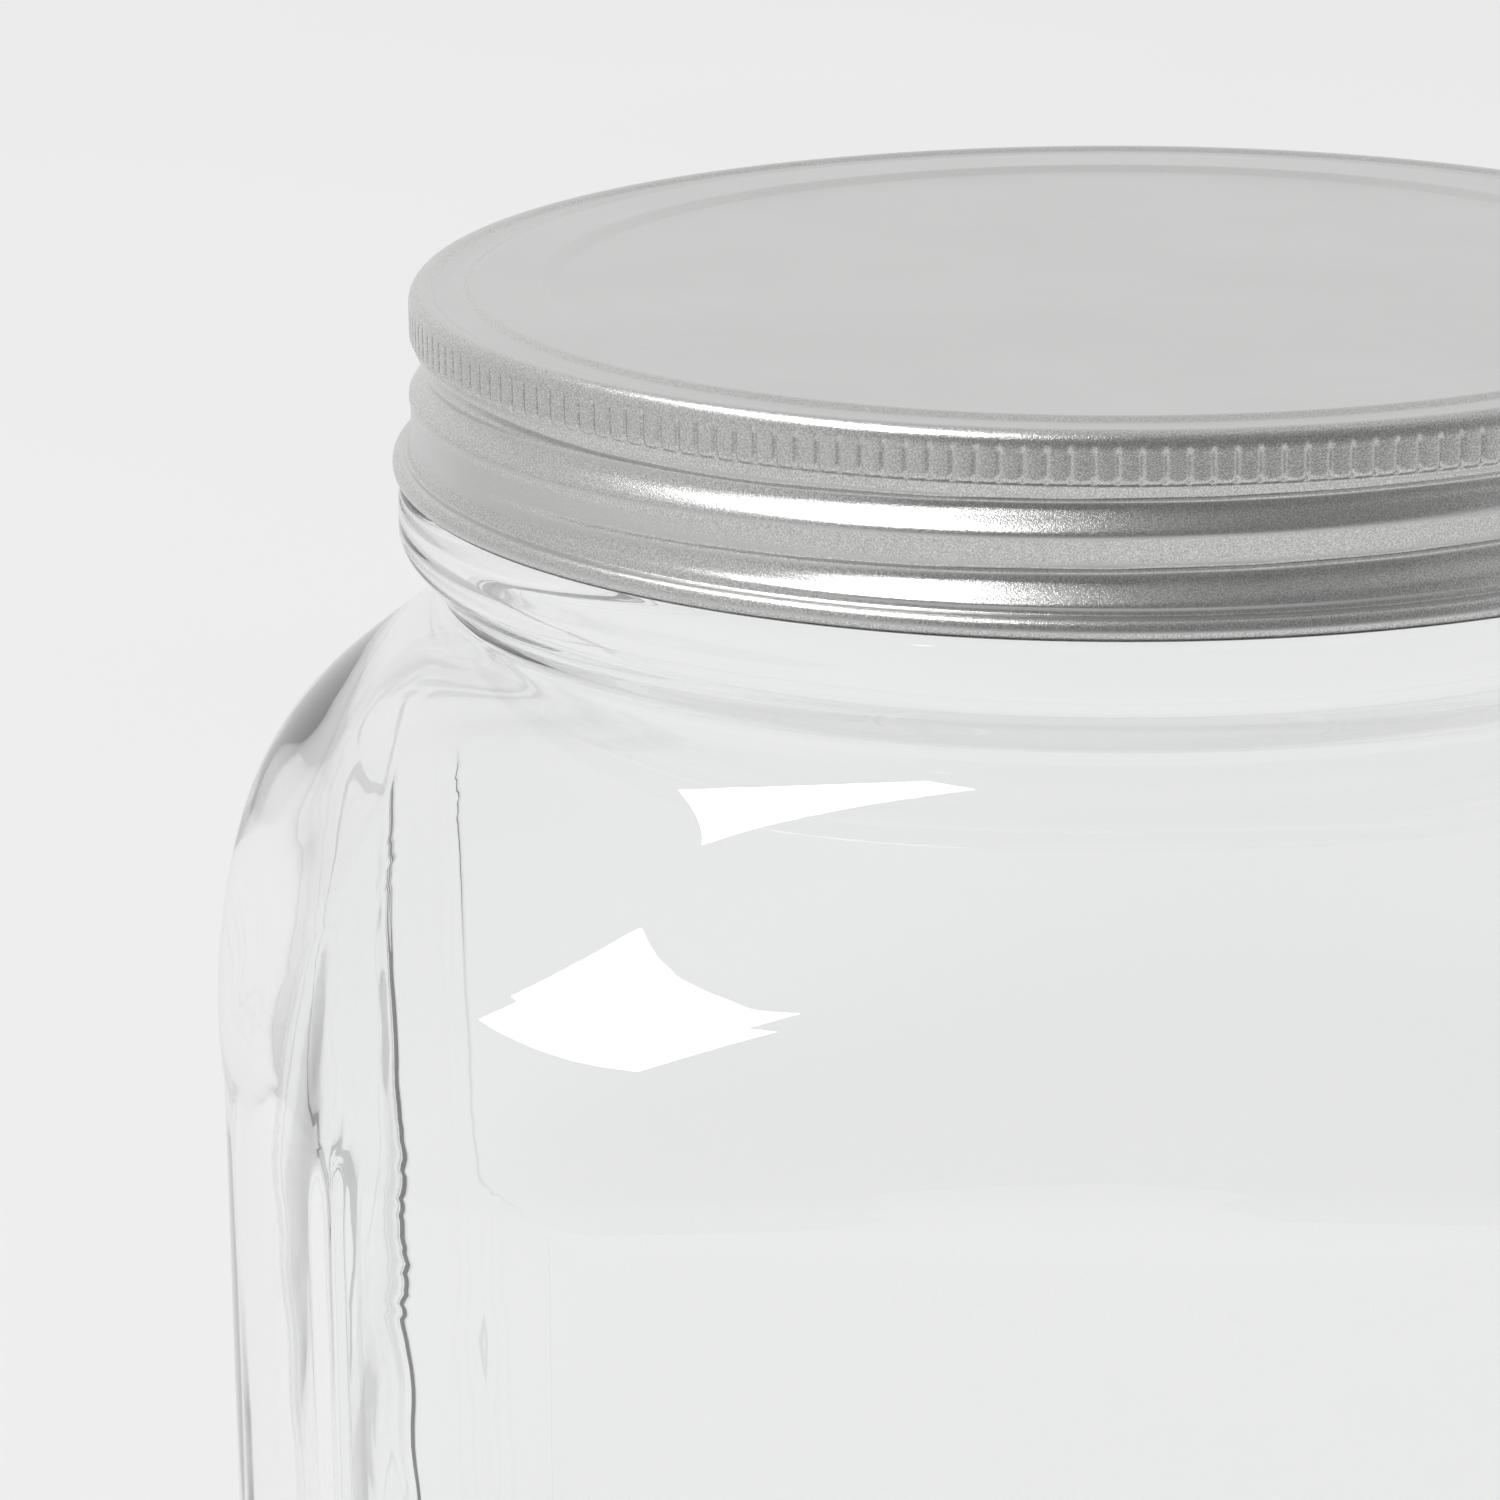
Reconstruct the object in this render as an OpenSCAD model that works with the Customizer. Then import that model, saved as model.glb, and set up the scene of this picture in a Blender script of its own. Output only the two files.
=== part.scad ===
// Wide-mouth glass jar with a screw lid.
// The jar is a square body with bowed faces that turns round at its neck. The lid is one drawn
// metal shell with a rolled thread, and a sealing ring sits inside it on the rim of the glass.
// The origin is at the centre of the base, and +Z is the axis of the jar, the thread and the lid.

/* [Jar body] */
// Width across two opposite faces
body_w = 146; // [130:1:156]
// Height of the glass from its base to its rim
jar_h = 245.4; // [200:0.1:280]
// Radius of the gently bowed faces, seen from above
face_r = 290; // [220:5:400]
// Radius of the upright corners, seen from above
corner_r = 31; // [26:1:36]
// Thickness of the side walls
wall_t = 4; // [3:0.1:5]
// Thickness of the floor
floor_t = 6; // [5:0.5:8]
// Rounding where the sides meet the base
heel_r = 11; // [8:1:14]
// Height that the middle of the base is pushed up
pushup_h = 4; // [2:0.5:5]

/* [Shoulder] */
// Distance from the rim down to the foot of the neck
neck_drop = 22.7; // [22.6:0.1:24]
// Height of the shoulder, from the foot of the neck to the widest section
shoulder_h = 39; // [36:1:44]
// Fullness of the shoulder: higher values turn down sooner
shoulder_power = 4.3; // [3.6:0.1:5.5]

/* [Label panels] */
// Distance from the rim down to the top of each panel
panel_drop = 51; // [50:0.5:55]
// Height of the lower edge of each panel above the base
panel_foot = 24; // [18:1:60]
// Depth of each panel below the face
panel_depth = 0.6; // [0.3:0.1:0.8]

/* [Neck and thread of the glass] */
// Radius of the mouth
mouth_r = 49.6; // [48:0.1:50]
// Outer radius of the neck under its thread
root_r = 54.4; // [54:0.1:54.6]
// Outer radius of the glass thread
thread_r = 55.5; // [55.2:0.1:55.6]
// Radius of the ring below the thread
bead_r = 57.8; // [57.2:0.1:58]
// Rise of the thread in one turn
pitch = 5.08; // [5.08:0.01:5.08]
// Turns of the glass thread
glass_turns = 1.48; // [1:0.02:1.5]

/* [Lid] */
// Radius of the lid over its grip band
lid_r = 56.5; // [56.4:0.1:56.8]
// Height of the lid
lid_h = 15.1; // [14.8:0.1:15.4]
// Thickness of the sheet metal
sheet_t = 0.3; // [0.25:0.05:0.35]
// Number of upright grooves in the grip band
knurls = 210; // [120:10:240]
// Depth of the grooves in the grip band
knurl_depth = 0.15; // [0.1:0.05:0.15]
// Radius that the rolled thread of the lid reaches inwards
lid_thread_r = 54.95; // [54.8:0.05:55.1]
// Turns of the rolled thread
lid_turns = 1.33; // [1:0.01:1.35]
// Radius of the curled hem's section
hem_r = 0.9; // [0.8:0.05:1]

/* [Sealing ring] */
// Inner radius of the ring
seal_in_r = 48.6; // [47.5:0.1:49]
// Thickness of the ring over the rim
seal_t = 0.7; // [0.6:0.05:0.8]

/* [Hidden] */

// Small gap between pieces that touch on the real object, so that no two solids overlap
touch_gap = 0.05;
// Depth by which joined solids run into each other
bite = 0.3;

body_half = body_w / 2;
neck_z = jar_h - neck_drop;
neck_foot_r = 54.6;
neck_foot_in_r = 50.6;
shoulder_z = neck_z - shoulder_h;
// The inside of the shoulder lies this much lower, which keeps the wall even on the slope
inside_lag = 1.5;

// Directions of a section's points from the middle of a face, in degrees
panel_angle = 32.8;
bevel_angle = 34.3;
face_steps = 6;
corner_steps = 8;

// Heights of the lid's outer face below its top
panel_dip = 0.45;
channel_dip = 0.5;
edge_r = 1.3;
grip_foot = 3.9;
waist_r = 56.4;
skirt_r = 56.55;
flare_r = 57;
// This radius lies inside the sheet both at the waist and on the skirt
wall_mid_r = 56.33;
lid_z = jar_h + touch_gap + seal_t + touch_gap + sheet_t + channel_dip;
hem_centre_r = 57.24;

// Thread helices: the radius vector of the lid's thread faces -90 degrees at this depth
lid_helix_drop = 10.4;
lid_start = -158;
lid_fade_steps = 12;
// The glass thread lies half a turn of pitch above the lid's, with a little play
glass_helix_drop = lid_helix_drop - pitch / 2;
glass_start = -348;
steps_per_turn = 72;

function mix(a, b, t) = a + (b - a) * t;
function turned(p, a) = [p[0] * cos(a) - p[1] * sin(a), p[0] * sin(a) + p[1] * cos(a)];

// Distance from the origin to a circle, centre p and radius r, along the unit vector u
function reach(p, r, u) = p * u + sqrt((p * u) * (p * u) - p * p + r * r);

// A section is [half width, radius of its faces, radius of its corners]
function body_section(inset) = [body_half - inset, face_r - inset, corner_r - inset];
// Sections turn from a circle at t = 0 into the body's rounded square, less an inset, at t = 1
function section(half, t, inset) =
    [half, 1 / mix(1 / half, 1 / (face_r - inset), t), mix(half, corner_r - inset, t)];

// Centre of a section's corner arc, at the same distance along both axes
function corner_centre(s) =
    let (q = s[1] - s[0], p = s[1] - s[2])
    (sqrt(max(0, 2 * p * p - q * q)) - q) / 2;

// Radius of a section at an angle a from the middle of a face, up to the corner at 45 degrees
function section_r(s, a) =
    let (c = corner_centre(s), switch_angle = atan2(c + s[2] * c / max(1e-6, s[1] - s[2]),
             s[0] - s[1] + s[1] * (c + s[1] - s[0]) / max(1e-6, s[1] - s[2])))
    a < switch_angle
        ? reach([0, s[0] - s[1]], s[1], [sin(a), cos(a)])
        : reach([c, c], s[2], [sin(a), cos(a)]);

// Angles of the points in one quarter of a section, from one face's panel edge to the next
quarter_angles = concat(
    [for (i = [0 : 2 * face_steps]) -panel_angle + i * panel_angle / face_steps],
    [for (i = [0 : corner_steps]) bevel_angle + i * (90 - 2 * bevel_angle) / corner_steps]
);
ring_size = 4 * len(quarter_angles);

// One closed ring of points: a level is [z, section, recess of the label panels]
function ring(level) =
    [for (q = [0 : 3], a = quarter_angles)
        let (fold = a > 45 ? 90 - a : abs(a),
             sunk = fold <= panel_angle + 0.01 ? level[2] : 0,
             s = [level[1][0] - sunk, level[1][1] - sunk, level[1][2]],
             p = turned([0, section_r(s, fold)], -a - 90 * q))
        [p[0], p[1], level[0]]];

// Fraction of the way from the neck to the full width, at a fraction u of the shoulder's height.
// It starts slowly, which leaves a hollow round the foot of the neck.
function fullness(u) = pow(1 - pow(1 - u, shoulder_power), 2);
// The shoulder stays nearly round until it is wide
square_power = 2.5;
shoulder_steps = [0.03, 0.07, 0.12, 0.17, 0.23, 0.3, 0.38, 0.47, 0.58];
panel_top_u = (panel_drop - neck_drop) / shoulder_h;
panel_slope = 3;

function shoulder_section(from_r, inset, u) =
    let (t = fullness(u))
    section(mix(from_r, body_half - inset, t), pow(t, square_power), inset);
function outer_level(u, recess) =
    [neck_z - u * shoulder_h, shoulder_section(neck_foot_r, 0, u), recess];
function inner_level(u) =
    [neck_z - inside_lag - u * shoulder_h, shoulder_section(neck_foot_in_r, wall_t, u), 0];

// Levels of the glass surface, from the middle of the underside out, up, over and down inside.
// The pushed-up middle is flat inside pushup_inset and slopes down to the standing ring.
pushup_inset = 30;
standing_w = 6;
pushup_levels = [
    [pushup_h, body_section(pushup_inset)],
    [pushup_h * 0.75, body_section(heel_r + standing_w + 5)],
    [0, body_section(heel_r + standing_w)]
];
// The heel is a little taller than it is deep
heel_stretch = 1.2;
heel_levels = [for (a = [0 : 15 : 90])
    [heel_r * (1 - sin(a)) * heel_stretch, body_section(heel_r * (1 - cos(a)))]];
in_corner_r = 12;
floor_levels = [for (a = [0 : 18 : 90])
    [floor_t + pushup_h * 0.5 + in_corner_r * (1 - cos(a)),
     body_section(wall_t + in_corner_r * (1 - sin(a)))]];

levels = concat(
    [for (l = pushup_levels) [l[0], l[1], 0]],
    [for (i = [len(heel_levels) - 1 : -1 : 0]) [heel_levels[i][0], heel_levels[i][1], 0]],
    [[panel_foot, body_section(0), 0],
     [panel_foot + panel_slope, body_section(0), panel_depth],
     [shoulder_z, body_section(0), panel_depth],
     outer_level(panel_top_u + panel_slope / shoulder_h, panel_depth)],
    [outer_level(panel_top_u, 0)],
    [for (i = [len(shoulder_steps) - 1 : -1 : 0]) outer_level(shoulder_steps[i], 0)],
    [outer_level(0, 0)],
    [[neck_z, section(neck_foot_in_r, 0, wall_t), 0]],
    [inner_level(0)],
    [for (u = shoulder_steps) inner_level(u)],
    [inner_level(0.85), inner_level(1)],
    [for (i = [len(floor_levels) - 1 : -1 : 0]) [floor_levels[i][0], floor_levels[i][1], 0]]
);

module glass_body() {
    rings = [for (l = levels) each ring(l)];
    under = len(rings);
    inside = under + 1;
    last = (len(levels) - 1) * ring_size;
    points = concat(rings, [[0, 0, pushup_h], [0, 0, floor_t + pushup_h]]);
    side_faces = [for (k = [0 : len(levels) - 2], i = [0 : ring_size - 1])
        let (a = k * ring_size + i,
             b = k * ring_size + (i + 1) % ring_size)
        each [[a, b, a + ring_size], [b, b + ring_size, a + ring_size]]];
    cap_faces = [for (i = [0 : ring_size - 1])
        let (j = (i + 1) % ring_size)
        each [[j, i, under], [last + i, last + j, inside]]];
    polyhedron(points = points, faces = concat(side_faces, cap_faces), convexity = 6);
}

// A bar swept along a helix. Its section is a list of [position across, lower edge, upper edge],
// where a position of 0 lies on base_r and 1 lies on crest_r. Its ends fade into hidden_r and
// narrow to tip_width.
tip_width = 0.4;
module helix_bar(start, turns, drop, top, base_r, crest_r, hidden_r, outline, fade_steps) {
    n = round(turns * steps_per_turn);
    m = 2 * len(outline);
    section_points = concat(
        [for (o = outline) [o[0], o[2]]],
        [for (i = [len(outline) - 1 : -1 : 0]) [outline[i][0], outline[i][1]]]);
    points = [for (i = [0 : n])
        let (a = start + i * 360 / steps_per_turn,
             z = top - drop + pitch * (a + 90) / 360,
             fade = min(1, i / fade_steps, (n - i) / fade_steps),
             crest = mix(hidden_r, crest_r, sin(90 * fade)),
             width = mix(tip_width, 1, fade))
        for (p = section_points)
            let (r = mix(base_r, crest, p[0]))
            [r * cos(a), r * sin(a), z + width * p[1]]];
    inward = crest_r < base_r;
    side_faces = [for (i = [0 : n - 1], j = [0 : m - 1])
        let (a = i * m + j, b = i * m + (j + 1) % m)
        each (inward ? [[a, b, a + m], [b, b + m, a + m]]
                     : [[a, a + m, b], [b, a + m, b + m]])];
    first_end = [for (j = [0 : m - 1]) inward ? m - 1 - j : j];
    last_end = [for (j = [0 : m - 1]) n * m + (inward ? j : m - 1 - j)];
    polyhedron(points = points, faces = concat(side_faces, [first_end, last_end]), convexity = 8);
}

// The neck: a rounded lip, the wall that carries the thread, and the ring below it
lip_r = 1.2;
lip_chamfer = 0.8;
neck_lip = [for (a = [90 : -18 : 0])
    [root_r - lip_r + lip_r * cos(a), jar_h - lip_r + lip_r * sin(a)]];
// The ring's points, as [distance inside bead_r, depth below the rim]
bead_points = [[1.2, 13.6], [0.5, 14.3], [0.1, 15.1], [0, 16], [0, 18], [0.25, 18.9], [0.8, 19.6]];
bead_curve = [for (p = bead_points) [bead_r - p[0], jar_h - p[1]]];
bead_top_drop = 12;
bead_foot_drop = 22;
// The inside swells behind the ring, which keeps the wall even
bead_in_r = 53.2;
bead_in_top_drop = 15.2;
bead_in_foot_drop = 18.6;
neck_outline = concat(
    neck_lip,
    [[root_r, jar_h - bead_top_drop]],
    bead_curve,
    [[neck_foot_r + bite, jar_h - bead_foot_drop],
     [neck_foot_r + bite, neck_z],
     [neck_foot_in_r - bite, neck_z],
     [neck_foot_in_r - bite, jar_h - bead_foot_drop],
     [bead_in_r, jar_h - bead_in_foot_drop],
     [bead_in_r, jar_h - bead_in_top_drop],
     [mouth_r, jar_h - bead_top_drop],
     [mouth_r, jar_h - lip_chamfer],
     [mouth_r + lip_chamfer, jar_h]]
);

glass_fade_steps = 7;
glass_thread_outline = [[0, -1.5, 1.5], [0.6, -1.05, 1.05], [1, -0.45, 0.45]];

module jar() {
    color("lightblue", 0.5) {
        glass_body();
        rotate_extrude($fn = 144) polygon(neck_outline);
        helix_bar(glass_start, glass_turns, glass_helix_drop, lid_z,
                  root_r - 2 * bite, thread_r, root_r - bite,
                  glass_thread_outline, glass_fade_steps);
    }
}

// The lid's outer face from its centre to its hem, as [radius, depth below the top]
edge_curve = [for (a = [90 : -15 : 0])
    [lid_r - edge_r + edge_r * cos(a), edge_r - edge_r * sin(a)]];
lid_outside = concat(
    [[0, panel_dip], [45.1, panel_dip], [45.9, 0], [51.8, 0], [52.5, channel_dip],
     [54.4, channel_dip]],
    edge_curve,
    [[lid_r, grip_foot], [waist_r, grip_foot + 0.4], [waist_r, 4.9], [skirt_r, 5.4],
     [skirt_r, 12.45], [flare_r, 12.9], [flare_r, 13.7]]
);
// The inner face follows it one sheet thickness inside, from the hem back to the centre
inner_edge_r = edge_r - sheet_t;
lid_inside = concat(
    [[flare_r - sheet_t, 13.7], [flare_r - sheet_t, 13.05], [skirt_r - sheet_t, 12.6],
     [skirt_r - sheet_t, 5.55], [waist_r - sheet_t, 5.05], [waist_r - sheet_t, 4.2],
     [lid_r - sheet_t, 3.8]],
    [for (a = [0 : 15 : 90])
        [lid_r - edge_r + inner_edge_r * cos(a), edge_r - inner_edge_r * sin(a)]],
    [[54.6, channel_dip + sheet_t], [52.3, channel_dip + sheet_t], [51.6, sheet_t],
     [46.1, sheet_t], [45.3, panel_dip + sheet_t], [0, panel_dip + sheet_t]]
);

module lid_walls() {
    translate([0, 0, lid_z]) rotate_extrude($fn = 180) {
        polygon([for (p = concat(lid_outside, lid_inside)) [p[0], -p[1]]]);
        difference() {
            translate([hem_centre_r, -(lid_h - hem_r)]) circle(r = hem_r, $fn = 32);
            translate([hem_centre_r, -(lid_h - hem_r)]) circle(r = hem_r - sheet_t, $fn = 32);
            translate([flare_r, -(lid_h - hem_r)]) square([0.35, hem_r + 0.2]);
        }
    }
}

// A ring of cutters around the grip band, with one inward tooth for each knurl. The ring itself
// stays clear of the lid, so only the teeth cut it.
module grip_band() {
    knurl_angle = 360 / knurls;
    knurl_h = 2.2;
    clear_r = lid_r + 0.1;
    tooth_r = lid_r - knurl_depth;
    grip_outline = [for (i = [0 : knurls - 1])
        let (a = i * knurl_angle)
        each [turned([clear_r, 0], a),
              turned([clear_r, 0], a + 0.4 * knurl_angle),
              turned([tooth_r, 0], a + 0.7 * knurl_angle)]];
    translate([0, 0, lid_z - grip_foot + 0.2]) difference() {
        cylinder(r = lid_r + 1, h = knurl_h, $fn = 180);
        translate([0, 0, -1]) linear_extrude(height = knurl_h + 2) polygon(grip_outline);
    }
}

// The rolled thread: a bar is added inside the wall and a groove is cut from outside, one sheet
// thickness apart. Both start clear of the wall's own faces.
lid_thread_bar = [[0, -1.8, 0.8], [1, -0.3, 0.3]];
lid_thread_groove = [[0, -2.27, 0.76], [1, -0.15, 0.1]];

module lid_shell() {
    color("silver") difference() {
        union() {
            lid_walls();
            helix_bar(lid_start, lid_turns, lid_helix_drop, lid_z,
                      wall_mid_r, lid_thread_r, wall_mid_r - 0.01,
                      lid_thread_bar, lid_fade_steps);
        }
        helix_bar(lid_start, lid_turns, lid_helix_drop, lid_z,
                  skirt_r + 2 * bite, lid_thread_r + sheet_t, skirt_r + bite,
                  lid_thread_groove, lid_fade_steps);
        grip_band();
    }
}

// The ring fills the step under the lid's rim and lies on the flat top of the glass
module lid_liner() {
    seal_z = jar_h + touch_gap;
    seal_out_r = lid_r - sheet_t - 0.7;
    under_channel = seal_z + seal_t;
    under_top = lid_z - sheet_t - touch_gap;
    color("whitesmoke") rotate_extrude($fn = 144) polygon([
        [seal_in_r, seal_z],
        [seal_out_r, seal_z],
        [seal_out_r, under_channel],
        [52.2, under_channel],
        [51.5, under_top],
        [seal_in_r, under_top]
    ]);
}

jar();
lid_shell();
lid_liner();
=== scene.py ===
"""Looks of a wide-mouth glass jar with a screw lid.

All lengths below are in millimetres in the frame of the CAD model: the origin is at the centre of
the base and +Z is up. They turn into metres where a mesh or an object is made.
"""
import math

import bpy
import numpy as np
from mathutils import Matrix, Vector


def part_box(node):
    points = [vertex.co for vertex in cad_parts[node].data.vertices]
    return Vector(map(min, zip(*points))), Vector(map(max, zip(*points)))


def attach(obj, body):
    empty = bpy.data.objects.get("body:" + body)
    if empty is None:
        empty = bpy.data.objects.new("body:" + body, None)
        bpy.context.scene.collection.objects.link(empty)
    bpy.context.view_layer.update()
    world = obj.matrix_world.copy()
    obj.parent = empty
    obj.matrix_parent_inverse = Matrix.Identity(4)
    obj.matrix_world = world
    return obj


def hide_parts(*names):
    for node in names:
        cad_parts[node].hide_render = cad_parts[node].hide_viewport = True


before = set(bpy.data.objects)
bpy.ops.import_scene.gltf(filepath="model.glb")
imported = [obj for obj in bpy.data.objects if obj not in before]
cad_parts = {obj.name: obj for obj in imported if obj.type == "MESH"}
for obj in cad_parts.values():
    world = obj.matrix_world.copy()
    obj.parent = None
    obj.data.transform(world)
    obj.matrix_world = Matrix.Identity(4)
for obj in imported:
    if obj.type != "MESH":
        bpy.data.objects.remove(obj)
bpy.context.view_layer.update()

MM = 0.001

# ---------------------------------------------------------------------------------------------
# Dimensions, from the frame where it has them

jar_low, jar_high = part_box("jar")
BODY_HALF = (jar_high.x - jar_low.x) / 2 / MM
RIM_Z = jar_high.z / MM
LID_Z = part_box("lid_shell")[1].z / MM
LINER_LOW_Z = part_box("lid_liner")[0].z / MM

# Jar body and shoulder, as in the CAD model
FACE_R = 290.0
CORNER_R = 31.0
WALL = 4.0
FLOOR_THICKNESS = 6.0
IN_CORNER_R = 12.0
HEEL_R = 11.0
HEEL_STRETCH = 1.2
STANDING_WIDTH = 6.0
PUSHUP = 4.0
PUSHUP_INSET = 30.0
NECK_DROP = 22.7
NECK_FOOT_R = 54.6
NECK_FOOT_IN_R = 50.6
SHOULDER_HEIGHT = 39.0
SHOULDER_POWER = 4.3
SQUARE_POWER = 2.5
INSIDE_LAG = 1.5
MOUTH_R = 49.6
ROOT_R = 54.4
LIP_R = 1.2
BEAD_R = 57.8
# The ring's points, as (distance inside its radius, depth below the rim)
BEAD_POINTS = [(1.2, 13.6), (0.5, 14.3), (0.1, 15.1), (0.0, 16.0), (0.0, 18.0), (0.25, 18.9),
               (0.8, 19.6)]
BEAD_IN_R = 53.2
BEAD_IN_TOP_DROP = 15.2
BEAD_IN_FOOT_DROP = 18.6
BEAD_TOP_DROP = 12.0
BEAD_FOOT_DROP = 22.0

# Each section of the jar is averaged over these turns, which softens where its arcs meet
CORNER_BLUR = np.radians(np.linspace(-4, 4, 7))
# Squareness counts this much against millimetres where a profile's corners are rounded
SQUARENESS_SCALE = [1, 1, 0.1]

# Label panels
PANEL_DEPTH = 0.55
PANEL_MIDDLE_DEPTH = 0.4
PANEL_TOP = RIM_Z - 51
PANEL_FOOT = 24.0
PANEL_HALF_WIDTH = 47.1
PANEL_BEVEL = 2.8
PANEL_CREASE = 0.12

# Wrinkles beside the corners: angle from a face's middle, half width of their band, and depth
WRINKLE_FROM_FACE = math.radians(39.5)
WRINKLE_WIDTH = math.radians(5)
WRINKLE_DEPTH = 0.005

# Sizes of the glass's unevenness outside, and inside from the broadest swells to the streaks
OUTSIDE_RIPPLE = 0.035
INSIDE_SWELL = 0.2
INSIDE_FINE = 0.02
INSIDE_STREAKS = 0.035

# Threads
PITCH = 5.08
GLASS_THREAD_R = 55.5
GLASS_START = math.radians(-348)
GLASS_TURNS = 1.48
LID_HELIX_DROP = 10.4
LID_START = math.radians(-158)
LID_TURNS = 1.33
GLASS_HELIX_DROP = LID_HELIX_DROP - PITCH / 2

# Lid. A drop is a depth below its top.
SHEET = 0.3
EDGE_R = 1.3
PANEL_DIP = 0.45
FLAT_R = 43.5
GRIP_R = 56.5
GRIP_TOP_DROP = 0.9
GRIP_FOOT_DROP = 4.0
SKIRT_FOOT_DROP = 12.9
INSIDE_GRIP_R = 55.6
KNURLS = 210
HEM_R = 0.9
HEM_CENTRE_R = 57.24
HEM_DROP = 14.2

# Rolled thread of the lid: depth of its groove, how far the sheet bulges below it and is drawn in
# above it
GROOVE_DEPTH = 1.3
BULGE = 0.11
DRAW = 0.4


# ---------------------------------------------------------------------------------------------
# Small maths helpers

def mix(a, b, t):
    return a + (b - a) * t


def smooth(t):
    """0 below 0, 1 above 1, and an even S between them."""
    t = np.clip(t, 0.0, 1.0)
    return t * t * (3 - 2 * t)


def rounded_path(points, step, radius):
    """Points every step along a polyline, with its corners rounded to about the given radius."""
    points = np.asarray(points, float)
    lengths = np.hypot(*np.diff(points, axis=0).T)
    along = np.concatenate([[0], np.cumsum(lengths)])
    fine = 0.05
    s = np.linspace(0, along[-1], int(along[-1] / fine) + 1)
    path = np.stack([np.interp(s, along, points[:, k]) for k in range(points.shape[1])], 1)
    half = max(1, int(radius / fine))
    kernel = np.hanning(2 * half + 3)[1:-1]
    kernel /= kernel.sum()
    # The ends are mirrored through themselves, so that smoothing leaves them in place
    head = 2 * path[0] - path[half:0:-1]
    tail = 2 * path[-1] - path[-2:-half - 2:-1]
    padded = np.concatenate([head, path, tail])
    path = np.stack([np.convolve(padded[:, k], kernel, "valid") for k in range(path.shape[1])], 1)
    count = max(2, int(round(along[-1] / step)) + 1)
    keep = np.round(np.linspace(0, len(path) - 1, count)).astype(int)
    return path[keep]


def waves(seed, count, low, high):
    """Random smooth waves over (angle, height): a list of (turns, waves per mm, phase, size)."""
    rng = np.random.default_rng(seed)
    turns = rng.integers(low[0], high[0] + 1, count) * rng.choice([-1, 1], count)
    rates = rng.uniform(low[1], high[1], count) * 2 * math.pi
    phases = rng.uniform(0, 2 * math.pi, count)
    sizes = rng.uniform(0.5, 1.0, count) / math.sqrt(count)
    return list(zip(turns, rates, phases, sizes))


def wave_field(parts, angle, z):
    """The sum of such waves at every angle and height, of about unit size."""
    total = 0.0
    for turns, rate, phase, size in parts:
        total = total + size * np.sin(turns * angle + rate * z + phase)
    return total


# ---------------------------------------------------------------------------------------------
# Meshes from grids of points

def grid_mesh(name, grid, poles=(), ring=False):
    """A mesh from grid[level, column], closed round its columns. Its first and last level end in
    the two pole points, or join each other if ring is true."""
    levels, columns = grid.shape[:2]
    vertices = grid.reshape(-1, 3)
    if len(poles):
        vertices = np.concatenate([vertices, np.asarray(poles, float)])
    column = np.arange(columns)
    after = np.roll(column, -1)
    level = np.arange(levels if ring else levels - 1)[:, None]
    above = (level + 1) % levels
    quads = np.stack([level * columns + column, level * columns + after,
                      above * columns + after, above * columns + column], -1).reshape(-1, 4)
    corners = [quads.ravel()]
    sizes = [np.full(len(quads), 4)]
    if len(poles):
        first = levels * columns
        last_ring = (levels - 1) * columns
        bottom = np.stack([np.full(columns, first), after, column], -1)
        top = np.stack([np.full(columns, first + 1), last_ring + column, last_ring + after], -1)
        corners += [bottom.ravel(), top.ravel()]
        sizes += [np.full(columns, 3), np.full(columns, 3)]
    corners = np.concatenate(corners).astype(np.int32)
    sizes = np.concatenate(sizes)
    starts = np.concatenate([[0], np.cumsum(sizes)[:-1]]).astype(np.int32)
    mesh = bpy.data.meshes.new(name)
    mesh.vertices.add(len(vertices))
    mesh.vertices.foreach_set("co", (vertices * MM).astype(np.float32).ravel())
    mesh.loops.add(len(corners))
    mesh.loops.foreach_set("vertex_index", corners)
    mesh.polygons.add(len(starts))
    mesh.polygons.foreach_set("loop_start", starts)
    mesh.update(calc_edges=True)
    mesh.validate()
    mesh.shade_smooth()
    piece = bpy.data.objects.new(name, mesh)
    bpy.context.scene.collection.objects.link(piece)
    return piece


def around(radius, angle, z):
    """Points at radius and angle, with angles from +X and heights z, all broadcast together."""
    radius, angle, z = np.broadcast_arrays(radius, angle, z)
    return np.stack([radius * np.cos(angle), radius * np.sin(angle), z], -1)


# ---------------------------------------------------------------------------------------------
# Jar

def section_radius(half, face_r, corner_r, fold):
    """Distance from the axis to a rounded square's outline, at angles fold from a face's middle,
    between 0 and 45 degrees. Its faces are arcs of face_r and its corners arcs of corner_r."""
    q = face_r - half
    p = face_r - corner_r
    c = (math.sqrt(max(0.0, 2 * p * p - q * q)) - q) / 2
    unit = np.stack([np.sin(fold), np.cos(fold)])

    def reach(centre_x, centre_y, radius):
        d = centre_x * unit[0] + centre_y * unit[1]
        square = d * d - centre_x ** 2 - centre_y ** 2 + radius * radius
        return d + np.sqrt(np.maximum(square, 0))

    if p < 1e-6:
        return reach(0.0, -q, face_r)
    switch = math.atan2(c + corner_r * c / p, -q + face_r * (c + q) / p)
    return np.where(fold < switch, reach(0.0, -q, face_r), reach(c, c, corner_r))


def soft_section(half, face_r, corner_r, fold):
    """The same outline with its faces run softly into its corners, as blown glass has them."""
    total = 0.0
    middle = 0.0
    for turn in CORNER_BLUR:
        near = np.abs(fold + turn)
        total = total + section_radius(half, face_r, corner_r, np.minimum(near, math.pi / 2 - near))
        middle = middle + section_radius(half, face_r, corner_r, np.abs(np.array([turn])))
    return half * total / middle


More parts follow.
